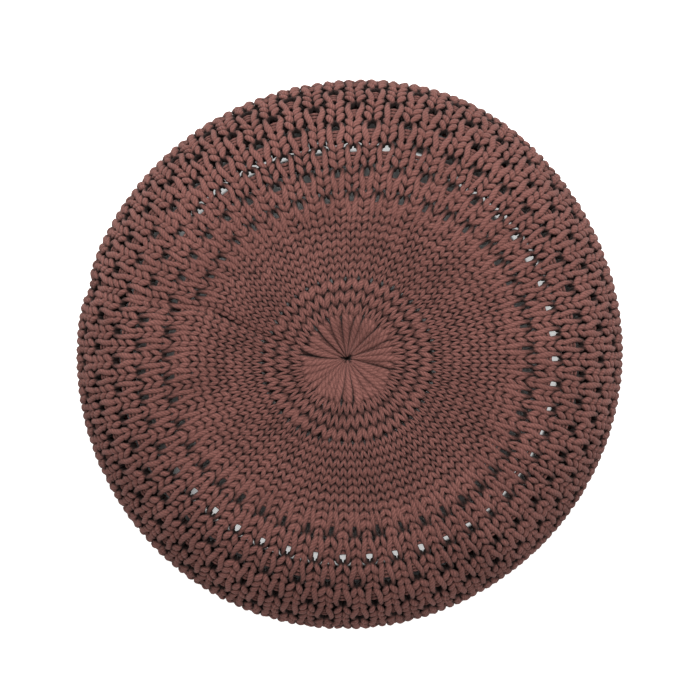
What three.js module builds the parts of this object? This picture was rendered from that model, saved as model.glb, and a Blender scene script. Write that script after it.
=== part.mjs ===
// A knitted skullcap (kufi) in millimetres, +Z up, standing on its lower edge with its centre over the origin.
// The fabric is one hollow knitted shell: a drawn-in gather, a plain crown, an openwork shoulder and wall, and a
// plain welt. It is described by two coordinates: the wale, counted round the cap from the back seam, and the
// distance down the fabric from the centre of the crown.
import * as THREE from "three";
import { mergeVertices } from "three/addons/utils/BufferGeometryUtils.js";

// Overall form
const WIDEST_DIAMETER = 184;
const RIM_DIAMETER = 162;
const CAP_HEIGHT = 88;
const CROWN_DIAMETER = 112;
const CROWN_SLOPE = 7.5;
const FABRIC_THICKNESS = 3.6;
const SEAM_ANGLE = 165;
const CROWN_CENTRE_X = -1.5;
const CROWN_CENTRE_Y = -1.2;

// The knit: pairs of wales go all the way round, and each wide wale of the crown's centre splits into one pair
const WALE_PAIRS = 47;
const GATHER_RADIUS = 14.8;
const WIDE_COURSE_HEIGHT = 4.6;
const WIDE_COURSES = 3;
const PLEAT_DEPTH = 0.8;
const CROWN_RIB_DEPTH = 0.5;
const WALL_RIB_DEPTH = 1.1;
const SHOULDER_STEPS = 3;
const WALL_STEPS = 2;
const WELT_DEPTH = 20;
const WELT_RIB_DEPTH = 0.6;

// The openwork: rows of eyelets, each row half a pair round from the one before
const FIRST_EYELET_ROW = 61;
const EYELET_ROW_SPACING = 9.8;
const CUT_ROWS = [2, 3];
const EYELET_WIDTH = 2.6;
const EYELET_LENGTH = 2.6;
const EYELET_BAND = 4.2;

// The drawn-in centre and the back seam
const GATHER_HOLE_DIAMETER = 4.4;
const GATHER_SINK = 3;
const KNOT_CLEARANCE = 0.3;
const KNOT_SINK = 1.6;
const KNOT_HEAD_DIAMETER = 9;
const KNOT_HEAD_HEIGHT = 2.4;
const KNOT_FLAT_SHARE = 0.6;
const KNOT_TAPER = 0.9;
const KNOT_SIDES = 14;
const KNOT_CURVE_STEPS = 3;
const SEAM_GROOVE_DEPTH = 1.3;
const SEAM_RIDGE_HEIGHT = 2;

// How the soft fabric lies. round is the share of the way round from the seam. turn is how many degrees a wale
// lies ahead of even spacing, so wales are wide where it rises. slide is how far the courses lie out from their
// even place, as a share of the fabric's depth, and swell is how far the outline stands out, as a share of its radius.
const DRAPE = [
  { round: 0, turn: 0, slide: 0, swell: 0.004 },
  { round: 0.14, turn: -3.2, slide: 0, swell: 0.008 },
  { round: 0.225, turn: -2.8, slide: 0, swell: 0.011 },
  { round: 0.31, turn: -2.3, slide: 0.004, swell: 0 },
  { round: 0.4, turn: -3.6, slide: 0.025, swell: -0.013 },
  { round: 0.48, turn: -7.5, slide: 0.041, swell: -0.013 },
  { round: 0.57, turn: -10.9, slide: 0.052, swell: -0.008 },
  { round: 0.68, turn: -12.2, slide: 0.038, swell: 0.001 },
  { round: 0.76, turn: -11.8, slide: -0.009, swell: 0.021 },
  { round: 0.83, turn: -7.6, slide: -0.06, swell: 0.002 },
  { round: 0.89, turn: -1.6, slide: -0.076, swell: -0.002 },
  { round: 1, turn: 0, slide: -0.074, swell: 0.004 },
];
const SLIDE_PEAK = 0.66;
const MERGE_DISTANCE = 1e-4;

const { degToRad, smoothstep } = THREE.MathUtils;

// The middle surface's profile is three arcs that meet without a kink: a shallow crown, the shoulder down to the
// widest level, and the wall, which draws in to the rim.
function makeProfile() {
  const widest = (WIDEST_DIAMETER - FABRIC_THICKNESS) / 2;
  const rim = (RIM_DIAMETER - FABRIC_THICKNESS) / 2;
  const top = CAP_HEIGHT - FABRIC_THICKNESS / 2;
  const slope = degToRad(CROWN_SLOPE);
  const crownRadius = CROWN_DIAMETER / 2 / Math.sin(slope);
  const crownLength = crownRadius * slope;
  const shoulderRadius = (widest - CROWN_DIAMETER / 2) / (1 - Math.sin(slope));
  const shoulderLength = shoulderRadius * (Math.PI / 2 - slope);
  const crownDrop = crownRadius * (1 - Math.cos(slope));
  const widestLevel = top - crownDrop - shoulderRadius * Math.cos(slope);
  const drawIn = 2 * Math.atan2(widest - rim, widestLevel);
  const wallRadius = widestLevel / Math.sin(drawIn);
  const length = crownLength + shoulderLength + wallRadius * drawIn;

  function at(distance) {
    if (distance <= crownLength) {
      const angle = distance / crownRadius;
      return { r: crownRadius * Math.sin(angle), z: top - crownRadius * (1 - Math.cos(angle)), angle };
    }
    if (distance <= crownLength + shoulderLength) {
      const angle = slope + (distance - crownLength) / shoulderRadius;
      const rise = shoulderRadius * (Math.cos(slope) - Math.cos(angle));
      return { r: widest - shoulderRadius * (1 - Math.sin(angle)), z: top - crownDrop - rise, angle };
    }
    const lean = (distance - crownLength - shoulderLength) / wallRadius;
    return {
      r: widest - wallRadius * (1 - Math.cos(lean)),
      z: widestLevel - wallRadius * Math.sin(lean),
      angle: Math.PI / 2 + lean,
    };
  }
  return { at, length, crownLength, shoulderLength };
}

const profile = makeProfile();
const shoulderEnd = profile.crownLength + profile.shoulderLength;

// Reads the drape table at a place round the cap, smoothly between its rows.
const drapeCurve = new THREE.CubicInterpolant(
  DRAPE.map((row) => row.round),
  DRAPE.flatMap((row) => [row.turn, row.slide, row.swell]),
  3,
);

function drapeAt(round) {
  const [turn, slide, swell] = drapeCurve.evaluate(round);
  return { turn, slide, swell };
}

// The slide of the courses is nothing at the centre and at the rim, and greatest on the shoulder.
function slideShare(share) {
  const bend = Math.log(0.5) / Math.log(SLIDE_PEAK);
  return Math.sin(Math.PI * share ** bend);
}

// A point of the fabric. round is the share of the way round from the seam, down the distance down the fabric,
// and depth the distance outside the middle surface.
function fabricPoint(round, down, depth) {
  const drape = drapeAt(round);
  const share = Math.min(1, down / profile.length);
  const distance = Math.min(profile.length, down + drape.slide * profile.length * slideShare(share));
  const { r, z, angle } = profile.at(distance);
  const outward = smoothstep(distance, 0, shoulderEnd);
  const sink = GATHER_SINK * (1 - smoothstep(down, 0, GATHER_RADIUS));
  const radius = (r + depth * Math.sin(angle)) * (1 + drape.swell * outward);
  const turned = degToRad(SEAM_ANGLE + 360 * round + drape.turn);
  return new THREE.Vector3(
    radius * Math.cos(turned) + CROWN_CENTRE_X * (1 - outward),
    radius * Math.sin(turned) + CROWN_CENTRE_Y * (1 - outward),
    z + depth * Math.cos(angle) - sink,
  );
}

// One closed ring of points round the cap. Even points lie in the valleys between wales and odd points on the
// wales, which stand ribDepth above the valleys on the outside.
function outerRing(points, down, ribDepth) {
  return Array.from({ length: points }, (_, i) => {
    const groove = i === 0 ? SEAM_GROOVE_DEPTH : ribDepth;
    const low = i % 2 === 0 ? groove : 0;
    return fabricPoint(i / points, down, FABRIC_THICKNESS / 2 - low);
  });
}

// On the inside only the seam's turned-in edge stands up.
function innerRing(points, down) {
  return Array.from({ length: points }, (_, i) => {
    const ridge = i === 0 && down > GATHER_RADIUS ? SEAM_RIDGE_HEIGHT : 0;
    return fabricPoint(i / points, down, -FABRIC_THICKNESS / 2 - ridge);
  });
}

// A ring on the plane that the cap stands on.
function flatten(ring) {
  return ring.map((point) => point.setZ(0));
}

// Collects triangles whose corners run anticlockwise seen from outside the fabric.
class Skin {
  constructor() {
    this.triangles = [];
  }

  triangle(a, b, c) {
    this.triangles.push([a, b, c]);
  }

  // Takes in another skin with its faces turned the other way.
  addReversed(other) {
    for (const [a, b, c] of other.triangles) this.triangle(a, c, b);
  }

  quad(a, b, c, d) {
    this.triangle(a, b, c);
    this.triangle(a, c, d);
  }

  // Joins one ring to the next one down. Where the next has twice as many points or half as many, each pair of
  // its sides meets one side of the other.
  join(upper, lower) {
    const count = Math.min(upper.length, lower.length);
    for (let i = 0; i < count; i++) {
      const next = (i + 1) % count;
      if (upper.length === lower.length) {
        this.quad(upper[i], lower[i], lower[next], upper[next]);
      } else if (lower.length > upper.length) {
        const after = (2 * i + 2) % lower.length;
        this.triangle(upper[i], lower[2 * i], lower[2 * i + 1]);
        this.triangle(upper[i], lower[2 * i + 1], upper[next]);
        this.triangle(upper[next], lower[2 * i + 1], lower[after]);
      } else {
        const after = (2 * i + 2) % upper.length;
        this.triangle(upper[2 * i], lower[i], upper[2 * i + 1]);
        this.triangle(upper[2 * i + 1], lower[i], lower[next]);
        this.triangle(upper[2 * i + 1], lower[next], upper[after]);
      }
    }
  }

  // Joins a row of eyelets' upper ring to its lower one, leaving a hole in every second wale, and returns the
  // holes' corners in order. firstWale is the first wale with a hole.
  joinPierced(upper, lower, firstWale, holeCorners) {
    const count = upper.length;
    const holes = [];
    for (let wale = 0; wale < count / 2; wale++) {
      const left = 2 * wale;
      const ridge = left + 1;
      const right = (left + 2) % count;
      if (wale % 2 !== firstWale) {
        this.quad(upper[left], lower[left], lower[ridge], upper[ridge]);
        this.quad(upper[ridge], lower[ridge], lower[right], upper[right]);
        continue;
      }
      const [upLeft, lowLeft, lowRight, upRight] = holeCorners(wale);
      this.quad(upper[left], lower[left], lowLeft, upLeft);
      this.triangle(lower[left], lower[ridge], lowLeft);
      this.triangle(lowLeft, lower[ridge], lowRight);
      this.triangle(lower[ridge], lower[right], lowRight);
      this.quad(lowRight, lower[right], upper[right], upRight);
      this.triangle(upRight, upper[right], upper[ridge]);
      this.triangle(upRight, upper[ridge], upLeft);
      this.triangle(upLeft, upper[ridge], upper[left]);
      holes.push([upLeft, lowLeft, lowRight, upRight]);
    }
    return holes;
  }

  // Walls of the holes, from the outer corners to the inner ones.
  line(outerHoles, innerHoles) {
    outerHoles.forEach((outer, h) => {
      const inner = innerHoles[h];
      outer.forEach((corner, i) => {
        const next = (i + 1) % outer.length;
        this.quad(corner, outer[next], inner[next], inner[i]);
      });
    });
  }

  geometry() {
    const loose = new THREE.BufferGeometry().setFromPoints(this.triangles.flat());
    return mergeVertices(loose, MERGE_DISTANCE);
  }
}

// The corners of the hole in one wale of an eyelet row, at a depth on either side of the fabric.
function eyeletCorners(wale, down, depth) {
  const wales = 2 * WALE_PAIRS;
  const middle = (wale + 0.5) / wales;
  const widthHere = fabricPoint(middle, down, 0).distanceTo(fabricPoint((wale + 1) / wales, down, 0)) * 2;
  const halfWidth = EYELET_WIDTH / 2 / widthHere / wales;
  const corner = (side, end) => fabricPoint(middle + side * halfWidth, down + (end * EYELET_LENGTH) / 2, depth);
  return [corner(-1, -1), corner(-1, 1), corner(1, 1), corner(1, -1)];
}

// The places that divide the way from one distance to another into equal steps, without its two ends.
function stepsBetween(from, to, steps) {
  return Array.from({ length: steps - 1 }, (_, i) => from + ((to - from) * (i + 1)) / steps);
}

// The rings of the fabric from the centre out, as the distance down, the number of points and the rib depth.
// Each eyelet row that is cut through has a ring above and one below its holes.
function fabricRows() {
  const wide = 2 * WALE_PAIRS;
  const full = 4 * WALE_PAIRS;
  const rows = [
    { down: GATHER_HOLE_DIAMETER / 2, points: wide, rib: 0 },
    { down: GATHER_RADIUS / 2, points: wide, rib: PLEAT_DEPTH / 2 },
    { down: GATHER_RADIUS, points: wide, rib: PLEAT_DEPTH },
  ];
  for (let course = 1; course < WIDE_COURSES; course++) {
    rows.push({ down: GATHER_RADIUS + course * WIDE_COURSE_HEIGHT, points: wide, rib: PLEAT_DEPTH });
  }
  const split = GATHER_RADIUS + WIDE_COURSES * WIDE_COURSE_HEIGHT;
  rows.push({ down: split, points: wide, rib: CROWN_RIB_DEPTH });
  rows.push({ down: (split + FIRST_EYELET_ROW) / 2, points: full, rib: CROWN_RIB_DEPTH });
  for (const row of CUT_ROWS) {
    const middle = FIRST_EYELET_ROW + (row - 1) * EYELET_ROW_SPACING;
    rows.push({ down: middle - EYELET_BAND / 2, points: full, rib: WALL_RIB_DEPTH });
    rows.push({ down: middle + EYELET_BAND / 2, points: full, rib: WALL_RIB_DEPTH, eyelets: row, middle });
  }
  const pierced = rows.at(-1).down;
  const weltEdge = profile.length - WELT_DEPTH;
  const plainRows = [
    ...stepsBetween(pierced, shoulderEnd, SHOULDER_STEPS),
    shoulderEnd,
    ...stepsBetween(shoulderEnd, weltEdge, WALL_STEPS),
  ];
  rows.push(...plainRows.map((down) => ({ down, points: full, rib: WALL_RIB_DEPTH })));
  rows.push({ down: weltEdge, points: full, rib: WELT_RIB_DEPTH });
  rows.push({ down: profile.length, points: full, rib: WELT_RIB_DEPTH });
  return rows;
}

// The inner face needs half the points, except round the holes and at the rim.
function innerPoints(rows, i) {
  const nearHoles = rows[i].eyelets || rows[i + 1]?.eyelets;
  return nearHoles || i === rows.length - 1 ? rows[i].points : 2 * WALE_PAIRS;
}

function makeCap() {
  const skin = new Skin();
  const rows = fabricRows();
  const last = rows.length - 1;
  const outer = rows.map((row) => outerRing(row.points, row.down, row.rib));
  const inner = rows.map((row, i) => innerRing(innerPoints(rows, i), row.down));
  flatten(outer[last]);
  flatten(inner[last]);
  for (let i = 1; i < rows.length; i++) {
    const { eyelets, middle, rib } = rows[i];
    if (!eyelets) {
      skin.join(outer[i - 1], outer[i]);
      skin.join(inner[i], inner[i - 1]);
      continue;
    }
    const first = (eyelets + 1) % 2;
    const outerDepth = FABRIC_THICKNESS / 2 - rib / 2;
    const outerHoles = skin.joinPierced(outer[i - 1], outer[i], first, (wale) =>
      eyeletCorners(wale, middle, outerDepth),
    );
    const inside = new Skin();
    const innerHoles = inside.joinPierced(inner[i - 1], inner[i], first, (wale) =>
      eyeletCorners(wale, middle, -FABRIC_THICKNESS / 2),
    );
    skin.addReversed(inside);
    skin.line(outerHoles, innerHoles);
  }
  skin.join(outer[last], inner[last]);
  skin.join(inner[0], outer[0]);
  return skin.geometry();
}

// The knot that closes the gather: a neck in the centre hole and a flattened head under the crown.
function makeKnot() {
  const neck = GATHER_HOLE_DIAMETER / 2 - KNOT_CLEARANCE;
  const top = CAP_HEIGHT - GATHER_SINK - KNOT_SINK;
  const under = CAP_HEIGHT - GATHER_SINK - FABRIC_THICKNESS - KNOT_CLEARANCE;
  const head = KNOT_HEAD_DIAMETER / 2;
  const outline = new THREE.Path();
  outline.moveTo(0, under - KNOT_HEAD_HEIGHT);
  outline.lineTo(head * KNOT_FLAT_SHARE, under - KNOT_HEAD_HEIGHT);
  outline.quadraticCurveTo(head, under - KNOT_HEAD_HEIGHT, head, under - KNOT_HEAD_HEIGHT / 2);
  outline.quadraticCurveTo(head, under, neck, under);
  outline.lineTo(neck * KNOT_TAPER, top - neck / 2);
  outline.quadraticCurveTo(neck * KNOT_TAPER, top, 0, top);
  const geometry = new THREE.LatheGeometry(outline.getPoints(KNOT_CURVE_STEPS), KNOT_SIDES);
  geometry.rotateX(Math.PI / 2);
  geometry.deleteAttribute("normal");
  geometry.deleteAttribute("uv");
  return mergeVertices(geometry, MERGE_DISTANCE);
}

const yarn = new THREE.MeshStandardMaterial({ color: 0x6b4743, roughness: 0.95, metalness: 0 });
const thread = new THREE.MeshStandardMaterial({ color: 0x5a3b38, roughness: 0.95, metalness: 0 });

const cap = new THREE.Mesh(makeCap(), yarn);
cap.name = "knitted_cap";

const knot = new THREE.Mesh(makeKnot(), thread);
knot.name = "closing_knot";
knot.position.set(CROWN_CENTRE_X, CROWN_CENTRE_Y, 0);

const kufi = new THREE.Group();
kufi.add(cap, knot);

// The outline isn't quite round, so the cap is set with the middle of its box over the origin.
const box = new THREE.Box3().setFromObject(cap);
kufi.children.forEach((mesh) => mesh.position.sub(box.getCenter(new THREE.Vector3()).setZ(0)));

export default kufi;
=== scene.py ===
"""A knitted kufi: every stitch is a loop of plied yarn, laid on one net that follows the draped fabric.

The fabric is described by two coordinates. round is the share of the way round from the back seam, and
down is the distance down the fabric from the centre of the crown. Lengths are in metres and angles in
radians.
"""

import logging
import math
from dataclasses import dataclass, field
from enum import Enum

import bmesh
import bpy
import numpy as np
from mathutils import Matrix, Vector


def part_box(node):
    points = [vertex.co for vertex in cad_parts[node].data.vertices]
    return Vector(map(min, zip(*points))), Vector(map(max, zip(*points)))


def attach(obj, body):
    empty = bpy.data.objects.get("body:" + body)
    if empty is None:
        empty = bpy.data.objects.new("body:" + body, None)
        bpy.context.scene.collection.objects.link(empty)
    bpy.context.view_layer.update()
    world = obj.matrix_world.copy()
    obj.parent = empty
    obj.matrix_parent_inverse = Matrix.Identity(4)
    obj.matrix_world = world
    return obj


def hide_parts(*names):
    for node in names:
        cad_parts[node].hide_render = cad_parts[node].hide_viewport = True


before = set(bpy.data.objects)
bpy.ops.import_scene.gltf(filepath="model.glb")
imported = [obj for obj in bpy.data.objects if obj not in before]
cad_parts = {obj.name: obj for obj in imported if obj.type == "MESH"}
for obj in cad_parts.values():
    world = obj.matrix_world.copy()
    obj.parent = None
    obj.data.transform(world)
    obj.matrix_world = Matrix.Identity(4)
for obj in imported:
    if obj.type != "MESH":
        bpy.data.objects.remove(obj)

MM = 0.001
TAU = 2 * math.pi
LOG = logging.getLogger("kufi")


def smoothstep(values: np.ndarray, start: float, end: float) -> np.ndarray:
    """Rises smoothly from 0 at start to 1 at end.

    Args:
        values: where to read it.
        start: the place where it leaves 0.
        end: the place where it reaches 1.

    Returns:
        The height of the step at each value.
    """
    share = np.clip((values - start) / (end - start), 0, 1)
    return share * share * (3 - 2 * share)


def smooth_table(places: np.ndarray, rounds: np.ndarray, values: np.ndarray) -> np.ndarray:
    """Reads a short table smoothly between its rows, with each row's slope the mean of its neighbours'.

    Args:
        places: where to read the table.
        rounds: the rows' places, in rising order.
        values: the rows' values.

    Returns:
        The value at each place.
    """
    secants = np.diff(values) / np.diff(rounds)
    slopes = np.concatenate([secants[:1], (secants[1:] + secants[:-1]) / 2, secants[-1:]])
    row = np.clip(np.searchsorted(rounds, places, side="right") - 1, 0, len(rounds) - 2)
    step = rounds[row + 1] - rounds[row]
    t = (places - rounds[row]) / step
    start = (1 + 2 * t) * (1 - t) ** 2 * values[row] + t * (1 - t) ** 2 * step * slopes[row]
    end = t * t * (3 - 2 * t) * values[row + 1] + t * t * (t - 1) * step * slopes[row + 1]
    return start + end


@dataclass(frozen=True)
class DrapeRow:
    """How the fabric lies at one place round the cap.

    turn is how far a wale lies ahead of even spacing, in degrees. slide is how far the courses lie out
    from their even place, as a share of the fabric's depth. swell is how far the outline stands out, as a
    share of its radius.
    """

    round: float
    turn: float
    slide: float
    swell: float


@dataclass(frozen=True)
class Fabric:
    """The cap's middle surface: a shallow crown, a round shoulder and a wall that draws in to the rim.

    crown_centre is where the gather lies off the cap's middle. slide_peak is the share of the fabric's
    depth where the drape's slide is greatest. meander says how many degrees the fabric beside the seam is
    turned, at distances down the fabric, and meander_reach over what share of the way round that fades
    out.
    """

    widest_diameter: float = 184 * MM
    rim_diameter: float = 162 * MM
    height: float = 88 * MM
    crown_diameter: float = 112 * MM
    crown_slope: float = math.radians(7.5)
    thickness: float = 3.6 * MM
    seam_angle: float = math.radians(165)
    crown_centre: tuple[float, float] = (-1.5 * MM, -1.2 * MM)
    gather_radius: float = 14.8 * MM
    gather_sink: float = 3 * MM
    seam_fold: float = 1.5 * MM
    seam_fold_width: float = 0.006
    slide_peak: float = 0.66
    centre_shift: tuple[float, float] = (0.0, 0.0)
    drape: tuple[DrapeRow, ...] = (
        DrapeRow(0, 0, 0, 0.004),
        DrapeRow(0.14, -3.2, 0, 0.008),
        DrapeRow(0.225, -2.8, -0.013, 0.011),
        DrapeRow(0.31, -2.3, -0.016, 0),
        DrapeRow(0.4, -3.6, 0.011, -0.013),
        DrapeRow(0.48, -7.5, 0.014, -0.013),
        DrapeRow(0.57, -10.9, -0.002, -0.008),
        DrapeRow(0.68, -12.2, -0.014, 0.001),
        DrapeRow(0.76, -11.8, -0.055, 0.021),
        DrapeRow(0.83, -7.6, -0.08, 0.002),
        DrapeRow(0.89, -1.6, -0.07, -0.002),
        DrapeRow(1, 0, -0.074, 0.004),
    )
    meander_reach: float = 0.12
    meander: tuple[tuple[float, float], ...] = (
        (0, 13),
        (4 * MM, 12),
        (10 * MM, 8),
        (17.5 * MM, 3.5),
        (27 * MM, 0.6),
        (40 * MM, -1.5),
        (51 * MM, -3.7),
        (62 * MM, -1.5),
        (74 * MM, 0),
        (160 * MM, 0),
    )

    @classmethod
    def on_frame(cls) -> "Fabric":
        """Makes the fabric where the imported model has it, from the place of its closing knot.

        Returns:
            The fabric.
        """
        low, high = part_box("closing_knot")
        middle = (low + high) / 2
        x, y = cls.crown_centre
        return cls(centre_shift=(middle.x - x, middle.y - y))

    @property
    def widest(self) -> float:
        """The middle surface's greatest radius."""
        return (self.widest_diameter - self.thickness) / 2

    @property
    def crown_radius(self) -> float:
        """The radius of the crown's arc."""
        return self.crown_diameter / 2 / math.sin(self.crown_slope)

    @property
    def shoulder_radius(self) -> float:
        """The radius of the shoulder's arc."""
        return (self.widest - self.crown_diameter / 2) / (1 - math.sin(self.crown_slope))

    @property
    def crown_length(self) -> float:
        """The distance down the fabric to the end of the crown."""
        return self.crown_radius * self.crown_slope

    @property
    def shoulder_end(self) -> float:
        """The distance down the fabric to its widest level."""
        return self.crown_length + self.shoulder_radius * (math.pi / 2 - self.crown_slope)

    @property
    def crown_drop(self) -> float:
        """How far the crown's arc falls from its centre to its edge."""
        return self.crown_radius * (1 - math.cos(self.crown_slope))

    @property
    def top(self) -> float:
        """The height of the middle surface's centre."""
        return self.height - self.thickness / 2

    @property
    def widest_level(self) -> float:
        """The height of the widest level."""
        return self.top - self.crown_drop - self.shoulder_radius * math.cos(self.crown_slope)

    @property
    def draw_in(self) -> float:
        """The angle through which the wall's arc turns."""
        rim = (self.rim_diameter - self.thickness) / 2
        return 2 * math.atan2(self.widest - rim, self.widest_level)

    @property
    def wall_radius(self) -> float:
        """The radius of the wall's arc."""
        return self.widest_level / math.sin(self.draw_in)

    @property
    def length(self) -> float:
        """The whole distance down the fabric from the centre to the rim."""
        return self.shoulder_end + self.wall_radius * self.draw_in

    def section(self, distance: np.ndarray) -> tuple[np.ndarray, np.ndarray, np.ndarray]:
        """Reads the cap's profile.

        Args:
            distance: distances down the profile.

        Returns:
            The radius, the height and the angle of the outward normal from straight up, at each distance.
        """
        crown = distance / self.crown_radius
        shoulder = self.crown_slope + (distance - self.crown_length) / self.shoulder_radius
        wall = (distance - self.shoulder_end) / self.wall_radius
        on_crown = distance <= self.crown_length
        on_shoulder = distance <= self.shoulder_end
        rise = self.shoulder_radius * (math.cos(self.crown_slope) - np.cos(shoulder))
        radius = np.where(
            on_crown,
            self.crown_radius * np.sin(crown),
            np.where(
                on_shoulder,
                self.widest - self.shoulder_radius * (1 - np.sin(shoulder)),
                self.widest - self.wall_radius * (1 - np.cos(wall)),
            ),
        )
        level = np.where(
            on_crown,
            self.top - self.crown_radius * (1 - np.cos(crown)),
            np.where(
                on_shoulder,
                self.top - self.crown_drop - rise,
                self.widest_level - self.wall_radius * np.sin(wall),
            ),
        )
        angle = np.where(on_crown, crown, np.where(on_shoulder, shoulder, math.pi / 2 + wall))
        return radius, level, angle

    def drape_at(self, around: np.ndarray, column: str) -> np.ndarray:
        """Reads one column of the drape's table at shares of the way round."""
        rounds, values = ([getattr(row, name) for row in self.drape] for name in ("round", column))
        return smooth_table(around, np.array(rounds), np.array(values))

    def point(self, around: np.ndarray, down: np.ndarray, depth: np.ndarray | float) -> np.ndarray:
        """Finds points of the fabric.

        Args:
            around: shares of the way round from the seam.
            down: distances down the fabric.
            depth: distances outside the middle surface.

        Returns:
            The points, one row of three for each place.
        """
        inside = np.clip(around, 0, 1)
        turn, slide, swell = (self.drape_at(inside, column) for column in ("turn", "slide", "swell"))
        share = np.clip(down / self.length, 0, 1)
        bend = math.log(0.5) / math.log(self.slide_peak)
        distance = np.abs(down + slide * self.length * np.sin(math.pi * share**bend))
        radius, level, angle = self.section(distance)
        outward = smoothstep(distance, 0, self.shoulder_end)
        sink = self.gather_sink * (1 - smoothstep(down, 0, self.gather_radius))
        places, degrees = zip(*self.meander)
        from_seam = np.minimum(inside, 1 - inside)
        near = np.exp(-((from_seam / self.meander_reach) ** 2))
        folded = np.exp(-((from_seam / self.seam_fold_width) ** 2))
        wander = near * smooth_table(down, np.array(places), np.array(degrees))
        depth = depth - self.seam_fold * folded * smoothstep(down, 0, self.gather_radius)
        radius = (radius + depth * np.sin(angle)) * (1 + swell * outward)
        turned = self.seam_angle + TAU * around + np.radians(turn + wander)
        x = radius * np.cos(turned) + self.crown_centre[0] * (1 - outward) + self.centre_shift[0]
        y = radius * np.sin(turned) + self.crown_centre[1] * (1 - outward) + self.centre_shift[1]
        return np.stack([x, y, level + depth * np.cos(angle) - sink], axis=-1)

    def outward(self, around: np.ndarray, down: np.ndarray, depth: np.ndarray | float) -> np.ndarray:
        """Finds the fabric's outward direction, as unit vectors, at the same places as point."""
        step = self.point(around, down, depth + MM) - self.point(around, down, depth)
        return step / np.linalg.norm(step, axis=-1, keepdims=True)


class Bench:
    """Adds nodes to one node tree and joins them."""

    def __init__(self, tree: bpy.types.NodeTree) -> None:
        """Starts work on a tree."""
        self.tree = tree

    def sockets(self, way: str, names: dict[str, str]) -> bpy.types.Node:
        """Gives the tree its named inputs or outputs.

        Args:
            way: INPUT or OUTPUT.
            names: each socket's name and its kind, such as Float or Geometry.

        Returns:
            The group input or group output node.
        """
        for name, kind in names.items():
            self.tree.interface.new_socket(name, in_out=way, socket_type="NodeSocket" + kind)
        return self.tree.nodes.new("NodeGroupInput" if way == "INPUT" else "NodeGroupOutput")

    def feed(self, socket: bpy.types.NodeSocket, value: object) -> None:
        """Joins an input to another node's output, or sets its value.

        Args:
            socket: the input.
            value: the other node's output, or a plain value.
        """
        if isinstance(value, bpy.types.NodeSocket):
            self.tree.links.new(value, socket)
        else:
            socket.default_value = value

    def add(
        self, kind: str, inputs: dict[str | int, object] | None = None, **settings: object
    ) -> bpy.types.Node:
        """Adds one node.

        Args:
            kind: the node's type name.
            inputs: what each input gets, by name or by number.
            settings: the node's own settings.

        Returns:
            The node.
        """
        node = self.tree.nodes.new(kind)
        for name, value in settings.items():
            setattr(node, name, value)
        for key, value in (inputs or {}).items():
            self.feed(node.inputs[key], value)
        return node

    def math(self, operation: str, *values: object) -> bpy.types.NodeSocket:
        """Adds a sum on numbers and returns its result."""
        return self.add("ShaderNodeMath", dict(enumerate(values)), operation=operation).outputs[0]

    def vector(self, operation: str, *values: object) -> bpy.types.NodeSocket:
        """Adds a sum on vectors and returns its result."""
        return self.add("ShaderNodeVectorMath", dict(enumerate(values)), operation=operation).outputs[0]

    def scale(self, vector: object, factor: object) -> bpy.types.NodeSocket:
        """Makes a vector longer or shorter by a factor."""
        inputs = {"Vector": vector, "Scale": factor}
        return self.add("ShaderNodeVectorMath", inputs, operation="SCALE").outputs[0]

    def mix(self, factor: object, first: object, second: object) -> bpy.types.NodeSocket:
        """Goes from one vector to another, and on past them where the factor is outside 0 to 1."""
        inputs = {0: factor, 4: first, 5: second}
        return self.add("ShaderNodeMix", inputs, data_type="VECTOR", clamp_factor=False).outputs[1]

    def read(self, name: str, kind: str = "FLOAT") -> bpy.types.NodeSocket:
        """Reads a named attribute of the geometry."""
        return self.add("GeometryNodeInputNamedAttribute", {"Name": name}, data_type=kind).outputs[0]

    def store(
        self, geometry: object, name: str, value: object, kind: str, domain: str = "POINT"
    ) -> bpy.types.NodeSocket:
        """Stores a named attribute on the geometry.

        Args:
            geometry: the geometry.
            name: the attribute's name.
            value: its value at each place.
            kind: the value's kind, such as FLOAT or FLOAT_VECTOR.
            domain: what holds a value: POINT or CORNER.

        Returns:
            The geometry with its attribute.
        """
        inputs = {"Geometry": geometry, "Name": name, "Value": value}
        node = self.add("GeometryNodeStoreNamedAttribute", inputs, data_type=kind, domain=domain)
        return node.outputs[0]


@dataclass(frozen=True)
class SurfaceAt:
    """Sockets that give the net's surface at one place of it."""

    point: bpy.types.NodeSocket
    outward: bpy.types.NodeSocket
    along_course: bpy.types.NodeSocket
    along_wale: bpy.types.NodeSocket


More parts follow.
